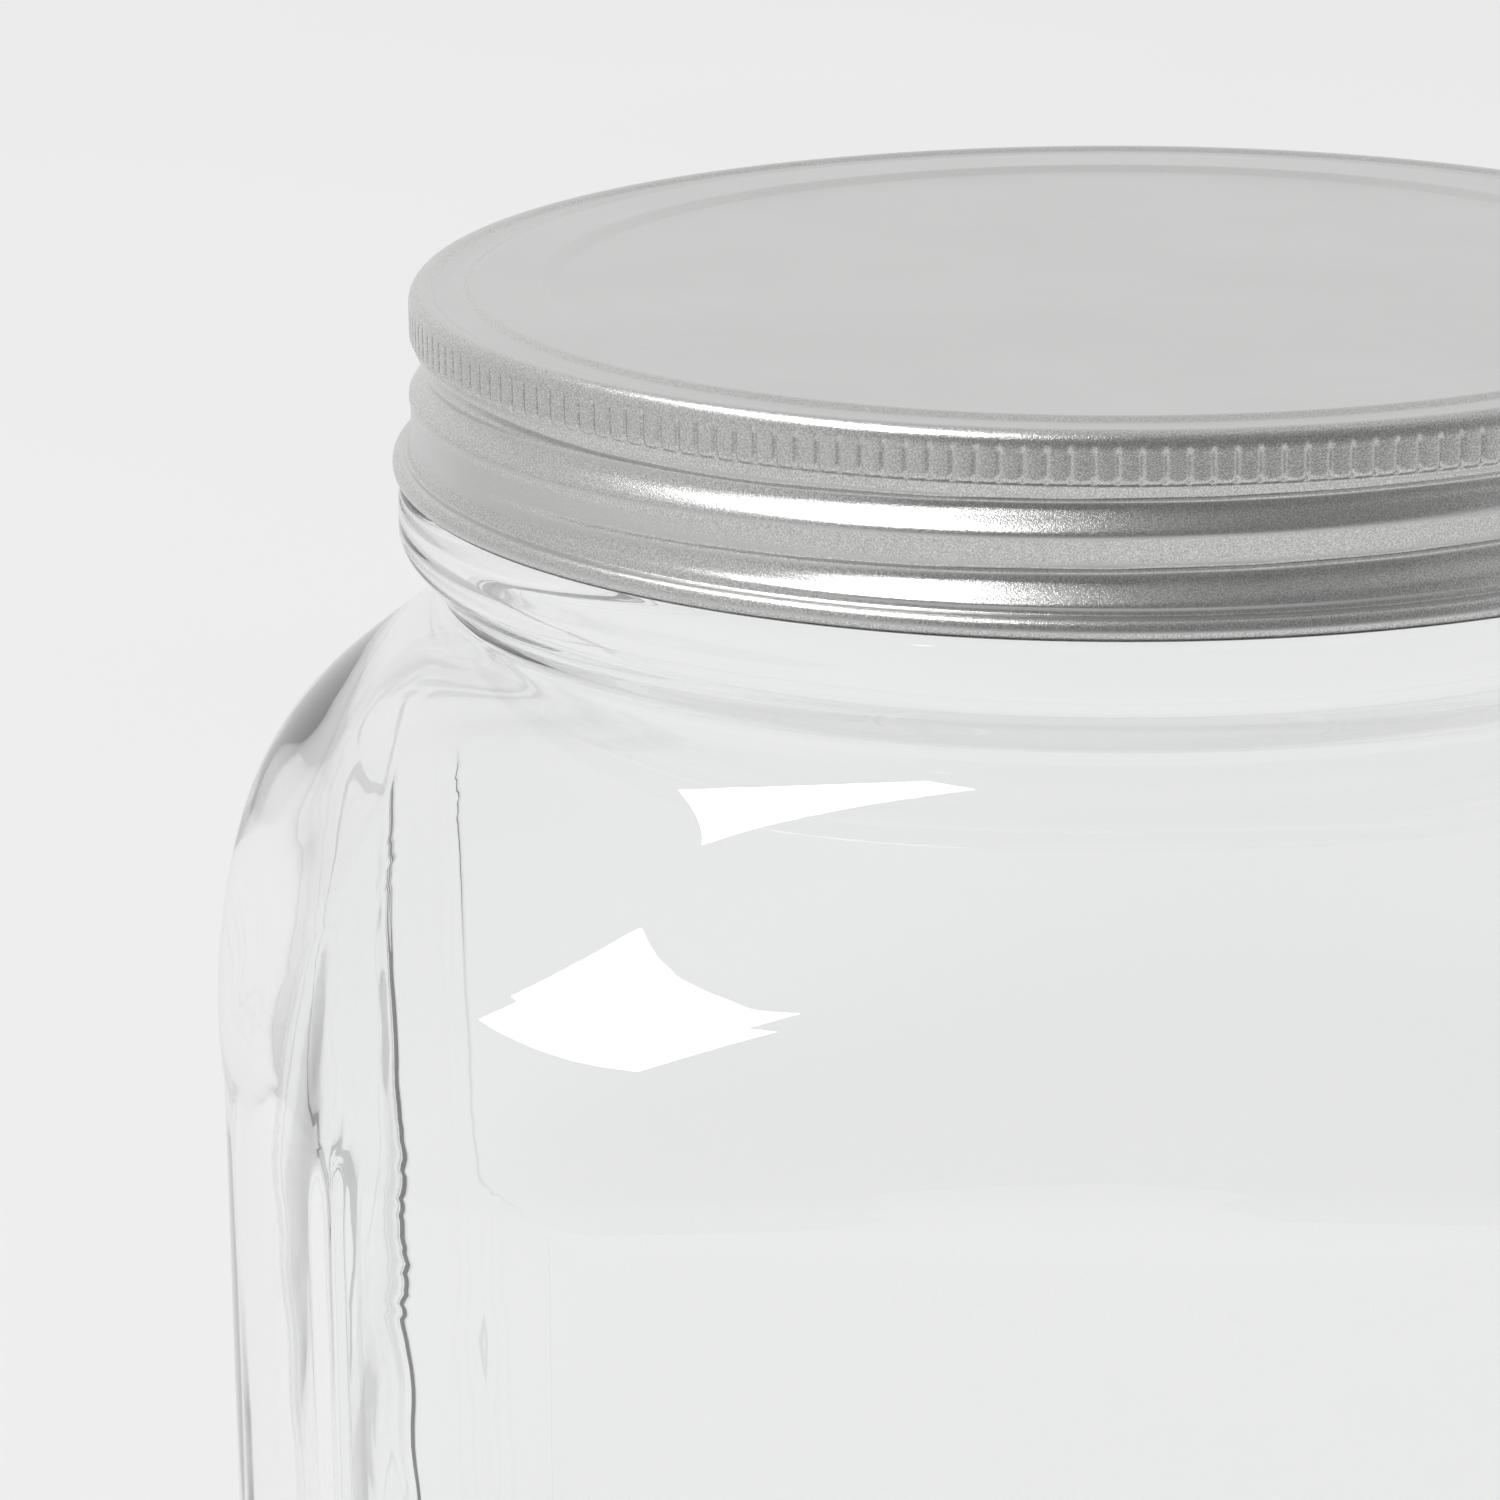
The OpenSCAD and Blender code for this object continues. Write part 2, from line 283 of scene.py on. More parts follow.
def section_at(half, t, inset):
    """Half width and radii of the faces and the corners of a section on the way from a circle
    (t = 0) to the body's rounded square, less an inset (t = 1)."""
    if t < 1 - 1e-9:
        return half, 1 / mix(1 / half, 1 / (FACE_R - inset), t), mix(half, CORNER_R - inset, t)
    return half, FACE_R - BODY_HALF + half, CORNER_R - BODY_HALF + half


def fullness(u):
    """How far the shoulder has widened at a fraction u of its height."""
    return (1 - np.clip(1 - u, 0, 1) ** SHOULDER_POWER) ** 2


def shoulder_rows(neck_z, neck_r, full_half, u):
    """Rows of (z, half width, squareness) down the shoulder. It stays round until it is wide."""
    t = fullness(u)
    return np.stack([neck_z - u * SHOULDER_HEIGHT, mix(neck_r, full_half, t),
                     t ** SQUARE_POWER], 1)


# Columns are closest together at the sides of the label panels and on the corners
def jar_angles():
    side = math.atan2(PANEL_HALF_WIDTH, BODY_HALF - 4)
    bevel = math.atan2(PANEL_HALF_WIDTH - PANEL_BEVEL, BODY_HALF - 4)
    quarter = np.concatenate([
        np.linspace(-bevel, bevel, 72, endpoint=False),
        np.linspace(bevel, side, 6, endpoint=False),
        np.linspace(side, math.pi / 2 - side, 30, endpoint=False),
        np.linspace(math.pi / 2 - side, math.pi / 2 - bevel, 6, endpoint=False),
    ])
    return np.concatenate([quarter + k * math.pi / 2 for k in range(4)]) - math.pi / 2


ANGLES = jar_angles()
TO_FACE = np.abs((ANGLES + math.pi / 4) % (math.pi / 2) - math.pi / 4)


def lathe_levels(rows, inset):
    """The radius at every level and column, from rows of (z, half width, squareness). The inset
    is that of the surface's upright walls."""
    z, half, t = np.asarray(rows).T
    radius = np.stack([soft_section(*section_at(h, k, inset), TO_FACE) for h, k in zip(half, t)])
    return z[:, None] * np.ones_like(radius), radius


def inset_levels(insets_and_heights, step, radius):
    """Rows of (z, half width, 1) for a smooth curve of (inset, z) points."""
    path = rounded_path(insets_and_heights, step, radius)
    return [(z, BODY_HALF - inset, 1.0) for inset, z in path]


def outer_profile():
    """Rows of (z, half width, squareness) up the outside, from under the base to the lip."""
    heel = [(HEEL_R * (1 - math.cos(a)), HEEL_R * HEEL_STRETCH * (1 - math.sin(a)))
            for a in np.radians(np.arange(90, -1, -7.5))]
    under = [(BODY_HALF - 12, PUSHUP), (PUSHUP_INSET, PUSHUP),
             (HEEL_R + STANDING_WIDTH + 5, PUSHUP * 0.75), (HEEL_R + STANDING_WIDTH, 0.0)]
    rows = inset_levels(under + heel + [(0, 18)], 1.2, 1.5)
    shoulder_z = RIM_Z - NECK_DROP - SHOULDER_HEIGHT
    rows += [(z, BODY_HALF, 1.0) for z in np.arange(19, shoulder_z - 1, 1.5)]
    shoulder = shoulder_rows(RIM_Z - NECK_DROP, NECK_FOOT_R, BODY_HALF, np.linspace(1, 0, 200))
    bead = [(RIM_Z - drop, BEAD_R - inset, 0.0) for inset, drop in reversed(BEAD_POINTS)]
    bead.append((RIM_Z - BEAD_TOP_DROP, ROOT_R, 0.0))
    lip = [(RIM_Z - LIP_R + LIP_R * math.sin(b), ROOT_R - LIP_R + LIP_R * math.cos(b), 0.0)
           for b in np.radians(np.arange(0, 91, 15))]
    foot = [(RIM_Z - BEAD_FOOT_DROP, NECK_FOOT_R + 0.3, 0.0)]
    top = np.concatenate([shoulder, foot, bead, lip])
    path = rounded_path(top * SQUARENESS_SCALE, 0.4, 0.6) / SQUARENESS_SCALE
    return rows + [tuple(p) for p in path]


def inner_profile():
    """Rows from the lip down the inside to the middle of the floor."""
    shoulder = shoulder_rows(RIM_Z - NECK_DROP - INSIDE_LAG, NECK_FOOT_IN_R, BODY_HALF - WALL,
                             np.linspace(0, 1, 120))
    lip = [(RIM_Z, MOUTH_R + 1.0, 0.0), (RIM_Z - 1.0, MOUTH_R, 0.0),
           (RIM_Z - BEAD_TOP_DROP, MOUTH_R, 0.0), (RIM_Z - BEAD_IN_TOP_DROP, BEAD_IN_R, 0.0),
           (RIM_Z - BEAD_IN_FOOT_DROP, BEAD_IN_R, 0.0),
           (RIM_Z - BEAD_FOOT_DROP, NECK_FOOT_IN_R, 0.0)]
    top = np.concatenate([lip, shoulder])
    path = rounded_path(top * SQUARENESS_SCALE, 0.7, 1.6) / SQUARENESS_SCALE
    rows = [tuple(p) for p in path]
    floor_z = FLOOR_THICKNESS + PUSHUP * 0.5
    wall_foot = floor_z + IN_CORNER_R
    rows += [(z, BODY_HALF - WALL, 1.0) for z in np.arange(path[-1][0] - 1.5, wall_foot + 1, -1.5)]
    curve = [(WALL + IN_CORNER_R * (1 - math.sin(a)), floor_z + IN_CORNER_R * (1 - math.cos(a)))
             for a in np.radians(np.arange(90, -1, -7.5))]
    middle = [(PUSHUP_INSET, floor_z + 0.8), (BODY_HALF - 12, FLOOR_THICKNESS + PUSHUP)]
    rows += inset_levels(curve + middle, 1.5, 2.0)
    return rows


def panel_recess(x, z):
    """How far the label panels sink in, at a distance x from a face's middle line and height z.
    Each has a flat bevel all round that meets in mitres at its corners."""
    inside = np.minimum(PANEL_HALF_WIDTH - np.abs(x), np.minimum(PANEL_TOP - z, z - PANEL_FOOT))
    t = inside / PANEL_BEVEL
    bevel = (np.sqrt(t * t + PANEL_CREASE) - np.sqrt((t - 1) ** 2 + PANEL_CREASE) + 1) / 2
    bevel = bevel * smooth((t + 0.6) / 0.5)
    depth = mix(PANEL_MIDDLE_DEPTH, PANEL_DEPTH, smooth((z - PANEL_TOP + 42) / 38))
    return depth * bevel


def chill_wrinkles(z):
    """Height of fine wrinkles beside the upright corners, where the hot glass first met the
    mould."""
    corner = (ANGLES + math.pi / 4) % (math.pi / 2)
    beside = np.abs(corner - math.pi / 4)
    band = smooth(1 - np.abs(beside - WRINKLE_FROM_FACE) / WRINKLE_WIDTH)
    height = smooth((z - PANEL_FOOT) / 30) * smooth((RIM_Z - 38 - z) / 8)
    return WRINKLE_DEPTH * band * height * wave_field(waves(5, 30, (3, 0.4), (60, 1.1)), ANGLES, z)


def helix_height(angle, start, turns, drop):
    """Heights of a helix's passes at each angle, lowest first, and how far along each pass is, as
    (z, turns from the start, turns left)."""
    passes = []
    first = (angle - start) % (2 * math.pi)
    for k in range(int(math.ceil(turns)) + 1):
        along = first + 2 * math.pi * k
        z = LID_Z - drop + PITCH * (start + along + math.pi / 2) / (2 * math.pi)
        passes.append((z, along / (2 * math.pi), turns - along / (2 * math.pi)))
    return passes


def glass_thread(angle, z):
    """How far the glass thread stands out of the neck."""
    height = 0.0
    for centre, done, left in helix_height(angle, GLASS_START, GLASS_TURNS, GLASS_HELIX_DROP):
        fade = smooth(done * 10) * smooth(left * 10)
        height = np.maximum(height, fade * smooth((1.5 - np.abs(z - centre)) / 1.1))
    return (GLASS_THREAD_R - ROOT_R) * height


def build_jar():
    outer_z, outer_r = lathe_levels(outer_profile(), 0.0)
    inner_z, inner_r = lathe_levels(inner_profile(), WALL)

    # Known fault: right on a corner this counts as a face's middle, so the recess of the panels
    # leaves a crease there, one column wide and about 0.6 mm deep
    across = outer_r * np.sin(np.where(TO_FACE < math.pi / 4, TO_FACE, 0))
    outer_r = outer_r - panel_recess(across, outer_z) / np.cos(TO_FACE)
    outer_r = outer_r + glass_thread(ANGLES, outer_z) * (outer_z > RIM_Z - BEAD_TOP_DROP)
    outer_r = outer_r + chill_wrinkles(outer_z)

    # Hot glass is never quite even: the outside ripples a little where it left the mould, and the
    # inside, which no mould touched, swells and sinks by some tenths of a millimetre
    body = smooth((RIM_Z - 24 - outer_z) / 12) * smooth((outer_z - 12) / 20)
    ripple = wave_field(waves(3, 24, (2, 0.004), (9, 0.03)), ANGLES, outer_z)
    outer_r = outer_r + OUTSIDE_RIPPLE * body * ripple
    body = smooth((RIM_Z - 4 - inner_z) / 30) * smooth((inner_z - 20) / 20)
    low = wave_field(waves(11, 20, (1, 0.002), (5, 0.02)), ANGLES, inner_z)
    fine = wave_field(waves(12, 40, (3, 0.01), (14, 0.06)), ANGLES, inner_z)
    streaks = wave_field(waves(21, 18, (0, 0.04), (3, 0.15)), ANGLES, inner_z)
    streaks = streaks * smooth((inner_z - (RIM_Z - 85)) / 20)
    inner_r = inner_r + body * (INSIDE_SWELL * low + INSIDE_FINE * fine
                                + INSIDE_STREAKS * streaks)

    grid = np.concatenate([around(outer_r, ANGLES, outer_z), around(inner_r, ANGLES, inner_z)])
    poles = [(0, 0, PUSHUP), (0, 0, FLOOR_THICKNESS + PUSHUP)]
    return grid_mesh("glass_jar", grid, poles)


# ---------------------------------------------------------------------------------------------
# Lid

def lid_profiles():
    """The lid's outer face from its centre to the end of its hem, then its inner face back to the
    centre, as (radius, drop below the top)."""
    edge = [(GRIP_R - EDGE_R + EDGE_R * math.cos(a), EDGE_R - EDGE_R * math.sin(a))
            for a in np.radians(np.arange(90, -1, -10))]
    plate = [(6, PANEL_DIP), (44.5, PANEL_DIP), (46.1, 0.0), (51.3, 0.0), (52.2, 0.38),
             (53.3, 0.5), (54.3, 0.36), (54.9, 0.08)]
    skirt = [(GRIP_R, 3.8), (56.33, GRIP_FOOT_DROP), (56.2, 5.0), (56.3, 5.5), (56.55, 6.0),
             (56.55, 12.3), (56.72, 12.75), (56.85, 13.2)]
    hem = [(HEM_CENTRE_R + HEM_R * math.cos(a), HEM_DROP - HEM_R * math.sin(a))
           for a in np.radians(np.arange(112, -181, -12))]
    outer = plate + edge + skirt + hem
    inner_edge_r = EDGE_R - SHEET
    inner = [(56.34, 13.4), (56.25, 12.6), (56.25, 6.1), (55.98, 5.5), (55.88, 4.95), (56.0, 4.2),
             (GRIP_R - SHEET, 3.7)]
    inner += [(GRIP_R - EDGE_R + inner_edge_r * math.cos(a), EDGE_R - inner_edge_r * math.sin(a))
              for a in np.radians(np.arange(0, 91, 15))]
    inner += [(54.6, 0.5), (54.0, 0.72), (53.3, 0.8), (52.3, 0.7), (51.3, SHEET), (46.2, SHEET),
              (44.6, PANEL_DIP + SHEET), (6, PANEL_DIP + SHEET)]
    return outer, inner


def lid_groove(angle, drop):
    """Depth of the rolled thread's groove. Its upper side is steep and its lower side slopes. The
    sheet is drawn in a little above it and bulges out a little below it."""
    depth = 0.0
    bulge = 0.0
    draw = 0.0
    for centre, done, left in helix_height(angle, LID_START, LID_TURNS, LID_HELIX_DROP):
        up = (LID_Z - drop) - centre
        # The upper side is steep, but it spreads out where it has a few millimetres of room up to
        # the grip band
        room = LID_Z - GRIP_FOOT_DROP - centre
        gentle = smooth((4.2 - room) / 1.2) * smooth((room - 1.7) / 0.7)
        edge = mix(0.62, np.clip(room, 0.62, 2.6), gentle)
        shape = np.minimum(smooth((edge - up) / mix(0.7, edge + 0.8, gentle)),
                           smooth((up + 2.15) / 1.9))
        fade = smooth(done * 5.5) * smooth(left * 5.5)
        depth = np.maximum(depth, shape * fade)
        swell = np.minimum(smooth((-1.6 - up) / 0.6), smooth((up + 3.1) / 0.9))
        bulge = np.maximum(bulge, swell * fade)
        draw = np.maximum(draw, smooth((2.7 - up) / 2.2) * (up > 0) * (1 - gentle) * fade)
    return np.maximum(GROOVE_DEPTH * depth, DRAW * draw) - BULGE * bulge * (depth < 0.2)


def knurl_groove(phase, drop):
    """Depth of the grip band's knurls: rounded lands with a narrow crease between each two. The
    phase runs from -0.5 to 0.5 across a land."""
    side = 2 * np.abs(phase)
    land = 0.07 * side ** 4
    crease = 0.16 * np.clip(1 - (0.5 - np.abs(phase)) / 0.09, 0, 1)
    band = smooth((drop - GRIP_TOP_DROP) / 0.8) * smooth((3.85 - drop) / 0.2)
    # The lands end in a curve, lowest at their middle
    foot = 0.16 * smooth((drop - 3.85 + 0.5 * side ** 3) / 0.16) * smooth((4.2 - drop) / 0.3)
    return (land + crease) * band + foot


def thin_flat_part(path, step):
    """Leaves out most points of a path in the middle of the lid, where it is flat."""
    flat = path[:, 0] < FLAT_R
    skip = max(1, int(step / abs(path[1, 0] - path[0, 0])))
    order = np.arange(len(path))
    return path[~flat | (order % skip == 0) | (order == 0) | (order == len(path) - 1)]


def build_lid():
    outer, inner = lid_profiles()
    outer_path = rounded_path(outer, 0.16, 0.16)
    outer_path = thin_flat_part(outer_path, 2.0)
    inner_path = rounded_path(inner, 0.3, 0.2)
    inner_path = thin_flat_part(inner_path, 2.5)
    across = np.array([-0.5, -0.41, -0.3, -0.1, 0.1, 0.3, 0.41])
    angle = (np.arange(KNURLS)[:, None] + across).ravel() * 2 * math.pi / KNURLS
    phase = np.tile(across, KNURLS)

    def surface(path, knurled):
        radius, drop = path[:, :1], path[:, 1:]
        wall = radius > INSIDE_GRIP_R
        skirt = wall & (drop > GRIP_FOOT_DROP) & (drop < SKIRT_FOOT_DROP)
        cut = np.where(skirt, lid_groove(angle, drop), 0.0)
        if knurled:
            cut = cut + np.where(wall, knurl_groove(phase, drop), 0.0)
        return around(radius - cut, angle, LID_Z - drop)

    grid = np.concatenate([surface(outer_path, True), surface(inner_path, False)])
    poles = [(0, 0, LID_Z - PANEL_DIP), (0, 0, LID_Z - PANEL_DIP - SHEET)]
    # The path runs from the top of the lid down, so the levels are turned to face outwards
    return grid_mesh("screw_lid", grid[:, ::-1], poles)


def build_liner():
    """The ring of sealing compound, moulded into the step under the lid's rim."""
    low, high = LINER_LOW_Z, LID_Z - SHEET - 0.05
    outline = [(48.6, low + 0.25), (48.9, low), (55.3, low), (55.5, low + 0.3),
               (55.5, low + 0.68), (52.4, low + 0.68), (51.5, high), (48.9, high),
               (48.6, high - 0.3), (48.6, low + 0.25)]
    path = rounded_path(outline, 0.12, 0.12)[:-1]
    columns = 360
    angle = np.arange(columns) * 2 * math.pi / columns
    lowest = path[:, 1:] < low + 0.02
    dip = np.where(lowest, 0.02 * (1 + wave_field(waves(7, 12, (5, 0), (40, 0)), angle, 0.0)), 0.0)
    grid = around(path[:, :1], angle, path[:, 1:] + dip)
    return grid_mesh("sealing_ring", grid, ring=True)


# ---------------------------------------------------------------------------------------------
# Materials

def new_material(name):
    material = bpy.data.materials.new(name)
    material.use_nodes = True
    tree = material.node_tree
    shader = tree.nodes["Principled BSDF"]
    return material, tree, shader


def add(tree, kind, inputs=None, **settings):
    """A node with its settings and its unlinked inputs."""
    node = tree.nodes.new(kind)
    for key, value in settings.items():
        setattr(node, key, value)
    for key, value in (inputs or {}).items():
        node.inputs[key].default_value = value
    return node


def ramp(tree, stops):
    node = tree.nodes.new("ShaderNodeValToRGB")
    while len(node.color_ramp.elements) < len(stops):
        node.color_ramp.elements.new(0.5)
    for element, (place, value) in zip(node.color_ramp.elements, stops):
        element.position = place
        element.color = (value, value, value, 1) if isinstance(value, float) else (*value, 1)
    return node


def glass_material():
    material, tree, shader = new_material("clear_glass")
    shader.inputs["Base Color"].default_value = (0.985, 0.992, 0.988, 1)
    shader.inputs["Roughness"].default_value = 0.0
    shader.inputs["IOR"].default_value = 1.52
    shader.inputs["Transmission Weight"].default_value = 1.0
    place = add(tree, "ShaderNodeTexCoord")
    ripple = add(tree, "ShaderNodeTexNoise", {"Scale": 55.0, "Detail": 2.0, "Roughness": 0.4})
    bump = add(tree, "ShaderNodeBump", {"Strength": 0.06, "Distance": 0.0005})
    tree.links.new(place.outputs["Object"], ripple.inputs["Vector"])
    tree.links.new(ripple.outputs["Fac"], bump.inputs["Height"])
    tree.links.new(bump.outputs["Normal"], shader.inputs["Normal"])
    return material


def tinplate_material():
    """Satin tinplate. Its rolling grain runs along X on the flat top, and the drawn skirt has a
    fine orange peel. The peel's speckle in the colour of the formed surfaces is painted glints."""
    material, tree, shader = new_material("satin_tinplate")
    shader.inputs["Metallic"].default_value = 1.0
    place = add(tree, "ShaderNodeTexCoord")
    stretch = add(tree, "ShaderNodeMapping", {"Scale": (0.03, 1.0, 1.0)})
    grain = add(tree, "ShaderNodeTexNoise", {"Scale": 1800.0, "Detail": 3.0, "Roughness": 0.6})
    peel = add(tree, "ShaderNodeTexNoise", {"Scale": 8000.0, "Detail": 2.0, "Roughness": 0.6})
    cloud = add(tree, "ShaderNodeTexNoise", {"Scale": 60.0, "Detail": 4.0, "Roughness": 0.6})
    tree.links.new(place.outputs["Object"], stretch.inputs["Vector"])
    tree.links.new(stretch.outputs["Vector"], grain.inputs["Vector"])
    tree.links.new(place.outputs["Object"], peel.inputs["Vector"])
    tree.links.new(place.outputs["Object"], cloud.inputs["Vector"])

    # Share of formed surface: 0 on the flat top and the straight walls, and 1 on the curves
    surface = add(tree, "ShaderNodeNewGeometry")
    split = add(tree, "ShaderNodeSeparateXYZ")
    upright = add(tree, "ShaderNodeMath", operation="ABSOLUTE")
    tree.links.new(surface.outputs["Normal"], split.inputs["Vector"])
    tree.links.new(split.outputs["Z"], upright.inputs[0])
    curved = ramp(tree, [(0.05, 0.25), (0.2, 1.0), (0.9, 1.0), (0.985, 0.0)])
    tree.links.new(upright.outputs["Value"], curved.inputs["Fac"])

    # The knurled band is grainy all over: it counts as formed surface, with the peel's bumps and
    # its painted glints
    height = add(tree, "ShaderNodeSeparateXYZ")
    tree.links.new(place.outputs["Object"], height.inputs["Vector"])
    grip_top, grip_foot = (LID_Z - GRIP_TOP_DROP) * MM, (LID_Z - GRIP_FOOT_DROP - 0.1) * MM
    above_foot = add(tree, "ShaderNodeMath", {1: grip_foot}, operation="GREATER_THAN")
    below_top = add(tree, "ShaderNodeMath", {1: grip_top}, operation="LESS_THAN")
    grip = add(tree, "ShaderNodeMath", operation="MULTIPLY")
    formed = add(tree, "ShaderNodeMath", operation="MAXIMUM")
    tree.links.new(height.outputs["Z"], above_foot.inputs[0])
    tree.links.new(height.outputs["Z"], below_top.inputs[0])
    tree.links.new(above_foot.outputs["Value"], grip.inputs[0])
    tree.links.new(below_top.outputs["Value"], grip.inputs[1])
    tree.links.new(grip.outputs["Value"], formed.inputs[0])
    tree.links.new(curved.outputs["Color"], formed.inputs[1])

    colour = ramp(tree, [(0.3, (0.705, 0.705, 0.70)), (0.7, (0.735, 0.735, 0.73))])
    # On the formed surfaces the peel noise speckles the metal's colour lighter and darker: painted
    # glints that stand in for the sparkle of light off the dimples
    painted_glints = ramp(tree, [(0.38, (0.54, 0.54, 0.53)), (0.5, (0.67, 0.67, 0.66)),
                          (0.62, (0.84, 0.84, 0.83))])
    colour_and_painted_glints = add(tree, "ShaderNodeMix", data_type="RGBA")
    tree.links.new(cloud.outputs["Fac"], colour.inputs["Fac"])
    tree.links.new(peel.outputs["Fac"], painted_glints.inputs["Fac"])
    tree.links.new(formed.outputs["Value"], colour_and_painted_glints.inputs["Factor"])
    tree.links.new(colour.outputs["Color"], colour_and_painted_glints.inputs["A"])
    tree.links.new(painted_glints.outputs["Color"], colour_and_painted_glints.inputs["B"])
    tree.links.new(colour_and_painted_glints.outputs["Result"], shader.inputs["Base Color"])

    rough = add(tree, "ShaderNodeMapRange", {"To Min": 0.34, "To Max": 0.24})
    tree.links.new(formed.outputs["Value"], rough.inputs["Value"])
    tree.links.new(rough.outputs["Result"], shader.inputs["Roughness"])

    grain_bump = add(tree, "ShaderNodeBump", {"Strength": 0.10, "Distance": 0.00005})
    peel_bump = add(tree, "ShaderNodeBump", {"Distance": 0.00005})
    peel_strength = add(tree, "ShaderNodeMapRange", {"To Min": 0.02, "To Max": 0.45})
    tree.links.new(formed.outputs["Value"], peel_strength.inputs["Value"])
    tree.links.new(peel_strength.outputs["Result"], peel_bump.inputs["Strength"])
    tree.links.new(grain.outputs["Fac"], grain_bump.inputs["Height"])
    tree.links.new(peel.outputs["Fac"], peel_bump.inputs["Height"])
    tree.links.new(grain_bump.outputs["Normal"], peel_bump.inputs["Normal"])
    tree.links.new(peel_bump.outputs["Normal"], shader.inputs["Normal"])
    return material


def seal_material():
    material, tree, shader = new_material("sealing_compound")
    place = add(tree, "ShaderNodeTexCoord")
    mottle = add(tree, "ShaderNodeTexNoise", {"Scale": 400.0, "Detail": 4.0, "Roughness": 0.65})
    colour = ramp(tree, [(0.3, (0.70, 0.70, 0.68)), (0.75, (0.78, 0.78, 0.76))])
    bump = add(tree, "ShaderNodeBump", {"Strength": 0.35, "Distance": 0.0001})
    shader.inputs["Roughness"].default_value = 0.62
    tree.links.new(place.outputs["Object"], mottle.inputs["Vector"])
    tree.links.new(mottle.outputs["Fac"], colour.inputs["Fac"])
    tree.links.new(colour.outputs["Color"], shader.inputs["Base Color"])
    tree.links.new(mottle.outputs["Fac"], bump.inputs["Height"])
    tree.links.new(bump.outputs["Normal"], shader.inputs["Normal"])
    return material


def floor_material():
    material, tree, shader = new_material("pale_floor")
    place = add(tree, "ShaderNodeTexCoord")
    speck = add(tree, "ShaderNodeTexNoise", {"Scale": 3.0, "Detail": 2.0})
    colour = ramp(tree, [(0.3, (0.895, 0.895, 0.895)), (0.7, (0.905, 0.905, 0.905))])
    shader.inputs["Roughness"].default_value = 0.9
    shader.inputs["Specular IOR Level"].default_value = 0.0
    tree.links.new(place.outputs["Object"], speck.inputs["Vector"])
    tree.links.new(speck.outputs["Fac"], colour.inputs["Fac"])
    tree.links.new(colour.outputs["Color"], shader.inputs["Base Color"])
    return material


# ---------------------------------------------------------------------------------------------
# Camera, floor and light

CAMERA_FROM_LID = (-29.55, -428.81, 88.37)
CAMERA_DOWN = math.radians(16.65)
CAMERA_ROLL = math.radians(-0.68)
CAMERA_LENS = 130.4

# Key light, in degrees and metres
KEY_DIRECTION = (-77, 62.5)
KEY_DISTANCE = 10
KEY_SIZE = (7.2, 1.4)
KEY_AIM = (0, 0, 0.2)


def build_camera():
    data = bpy.data.cameras.new("camera")
    camera = bpy.data.objects.new("camera", data)
    bpy.context.scene.collection.objects.link(camera)
    data.lens = CAMERA_LENS
    data.sensor_width = 36
    data.sensor_fit = "AUTO"
    data.clip_start = 0.01
    data.clip_end = 50
    right = Vector((1, 0, 0))
    up = Vector((0, math.sin(CAMERA_DOWN), math.cos(CAMERA_DOWN)))
    c, s = math.cos(CAMERA_ROLL), math.sin(CAMERA_ROLL)
    x = right * c + up * s
    y = up * c - right * s
    z = x.cross(y)
    x_, y_, z_ = CAMERA_FROM_LID
    place = Vector((x_, y_, z_ + LID_Z)) * MM
    camera.matrix_world = Matrix.Translation(place) @ Matrix((x, y, z)).transposed().to_4x4()
    bpy.context.scene.camera = camera


def build_floor():
    half = 8.0
    corners = [(-half, -half, 0), (half, -half, 0), (half, half, 0), (-half, half, 0)]
    mesh = bpy.data.meshes.new("floor")
    mesh.from_pydata(corners, [], [(0, 1, 2, 3)])
    floor = bpy.data.objects.new("floor", mesh)
    bpy.context.scene.collection.objects.link(floor)
    floor.data.materials.append(floor_material())
    floor.visible_glossy = False


def softbox(name, place, target, size, power):
    """A rectangular area light that faces target. Places are in metres."""
    data = bpy.data.lights.new(name, "AREA")
    data.shape = "RECTANGLE"
    data.size, data.size_y = size
    data.energy = power
    light = bpy.data.objects.new(name, data)
    bpy.context.scene.collection.objects.link(light)
    aim = Vector(target) - Vector(place)
    light.matrix_world = (Matrix.Translation(Vector(place))
                          @ aim.to_track_quat("-Z", "Y").to_matrix().to_4x4())
    light.visible_camera = False
    return light


def direction(azimuth, elevation):
    """A unit vector. Azimuth 0 points along -Y, out of the front, and 90 along +X, in degrees."""
    a, e = math.radians(azimuth), math.radians(elevation)
    return Vector((math.sin(a) * math.cos(e), -math.cos(a) * math.cos(e), math.sin(e)))


def lobe(tree, place, towards, begin, full):
    """A share that rises from 0 to 1 as a direction turns towards another one."""
    dot = add(tree, "ShaderNodeVectorMath", operation="DOT_PRODUCT")
    dot.inputs[1].default_value = towards
    tree.links.new(place.outputs["Generated"], dot.inputs[0])
    share = add(tree, "ShaderNodeMapRange", {"From Min": begin, "From Max": full},
                interpolation_type="SMOOTHSTEP")
    tree.links.new(dot.outputs["Value"], share.inputs["Value"])
    return share.outputs["Result"]


def blend_grey(tree, share, below, grey):
    """The colour below, turned towards a grey by a share."""
    node = add(tree, "ShaderNodeMix", {"B": (grey, grey, grey, 1)}, data_type="RGBA")
    tree.links.new(share, node.inputs["Factor"])
    tree.links.new(below, node.inputs["A"])
    return node.outputs["Result"]


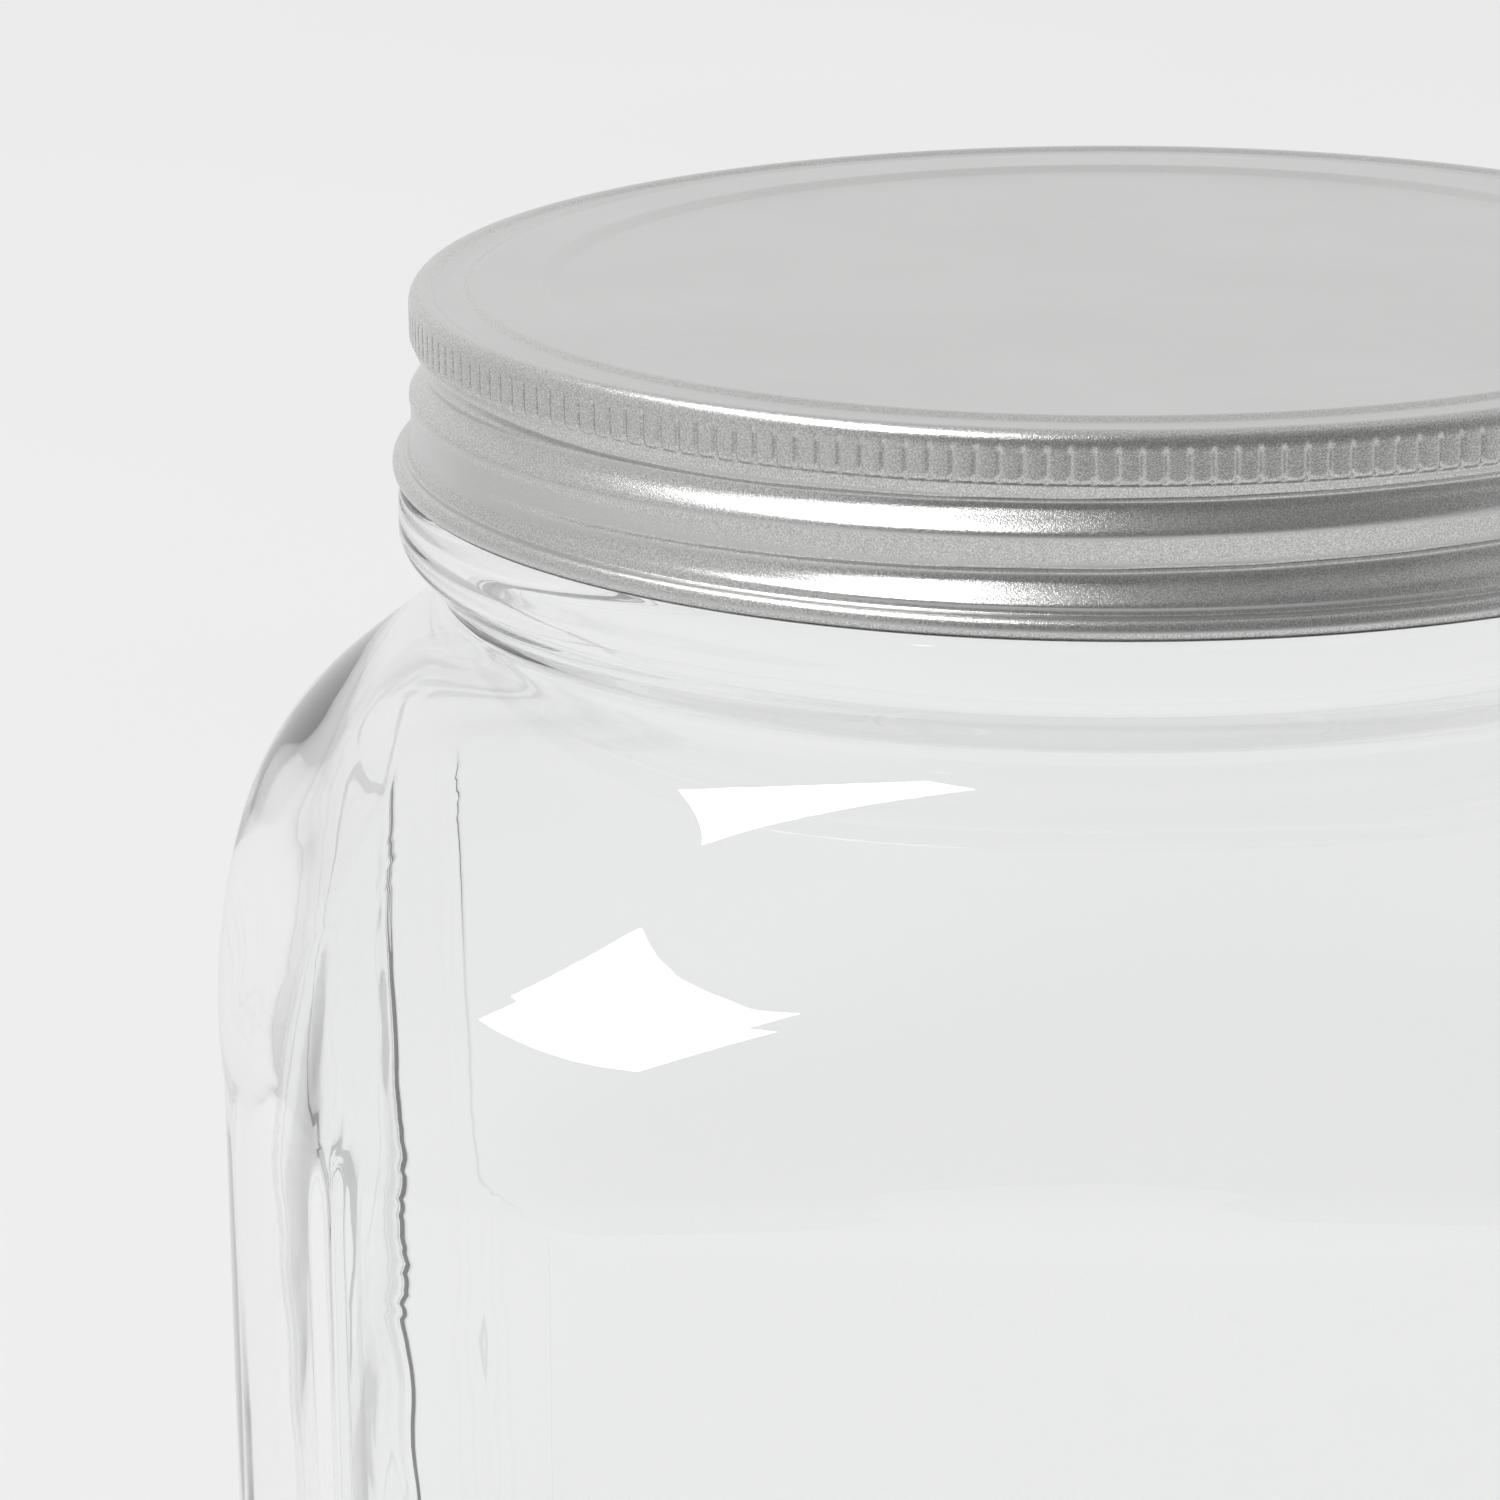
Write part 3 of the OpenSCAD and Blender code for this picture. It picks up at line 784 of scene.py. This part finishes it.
def build_world():
    """A grey studio with a white wall behind the jar and a dark side behind the camera. Below the
    horizon it is what the metal and the glass reflect in place of the floor."""
    world = bpy.data.worlds.new("studio")
    bpy.context.scene.world = world
    world.use_nodes = True
    world.cycles.sampling_method = "NONE"
    tree = world.node_tree
    background = tree.nodes["Background"]
    place = add(tree, "ShaderNodeTexCoord")
    split = add(tree, "ShaderNodeSeparateXYZ")
    tree.links.new(place.outputs["Generated"], split.inputs["Vector"])

    height = ramp(tree, [(0.0, 0.62), (0.35, 0.66), (0.75, 0.62), (1.0, 0.58)])
    tree.links.new(split.outputs["Z"], height.inputs["Fac"])
    behind_jar = lobe(tree, place, (0, 1, 0), 0.55, 0.97)
    walls = blend_grey(tree, behind_jar, height.outputs["Color"], 0.81)
    behind_camera = lobe(tree, place, direction(16, 27), 0.3, 0.93)
    room = blend_grey(tree, behind_camera, walls, 0.25)

    below = add(tree, "ShaderNodeMapRange", {"From Min": -0.2, "From Max": -0.5},
                interpolation_type="SMOOTHSTEP")
    tree.links.new(split.outputs["Z"], below.inputs["Value"])
    ground = blend_grey(tree, below.outputs["Result"], room, 0.76)
    tree.links.new(ground, background.inputs["Color"])
    background.inputs["Strength"].default_value = 1.0


# ---------------------------------------------------------------------------------------------
# The scene

scene = bpy.context.scene
scene.view_settings.view_transform = "Standard"
scene.view_settings.look = "None"
scene.cycles.max_bounces = 24
scene.cycles.transmission_bounces = 24
scene.cycles.glossy_bounces = 8
scene.cycles.transparent_max_bounces = 16

build_camera()
build_world()
build_floor()
softbox("key", direction(*KEY_DIRECTION) * KEY_DISTANCE, KEY_AIM, KEY_SIZE, 360)
# The fill brightens the floor, and shows in no reflection
fill = softbox("fill", (0, 0, 10), (0, 0.001, 0), (6, 6), 150)
fill.visible_glossy = False
fill.visible_transmission = False

for make, paint, body, node, slot in (
        (build_jar, glass_material, "jar", "jar", "glass"),
        (build_lid, tinplate_material, "lid", "lid_shell", "lid_metal"),
        (build_liner, seal_material, "seal", "lid_liner", "seal")):
    piece = make()
    piece.data.materials.append(paint())
    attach(piece, body)
    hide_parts(node)
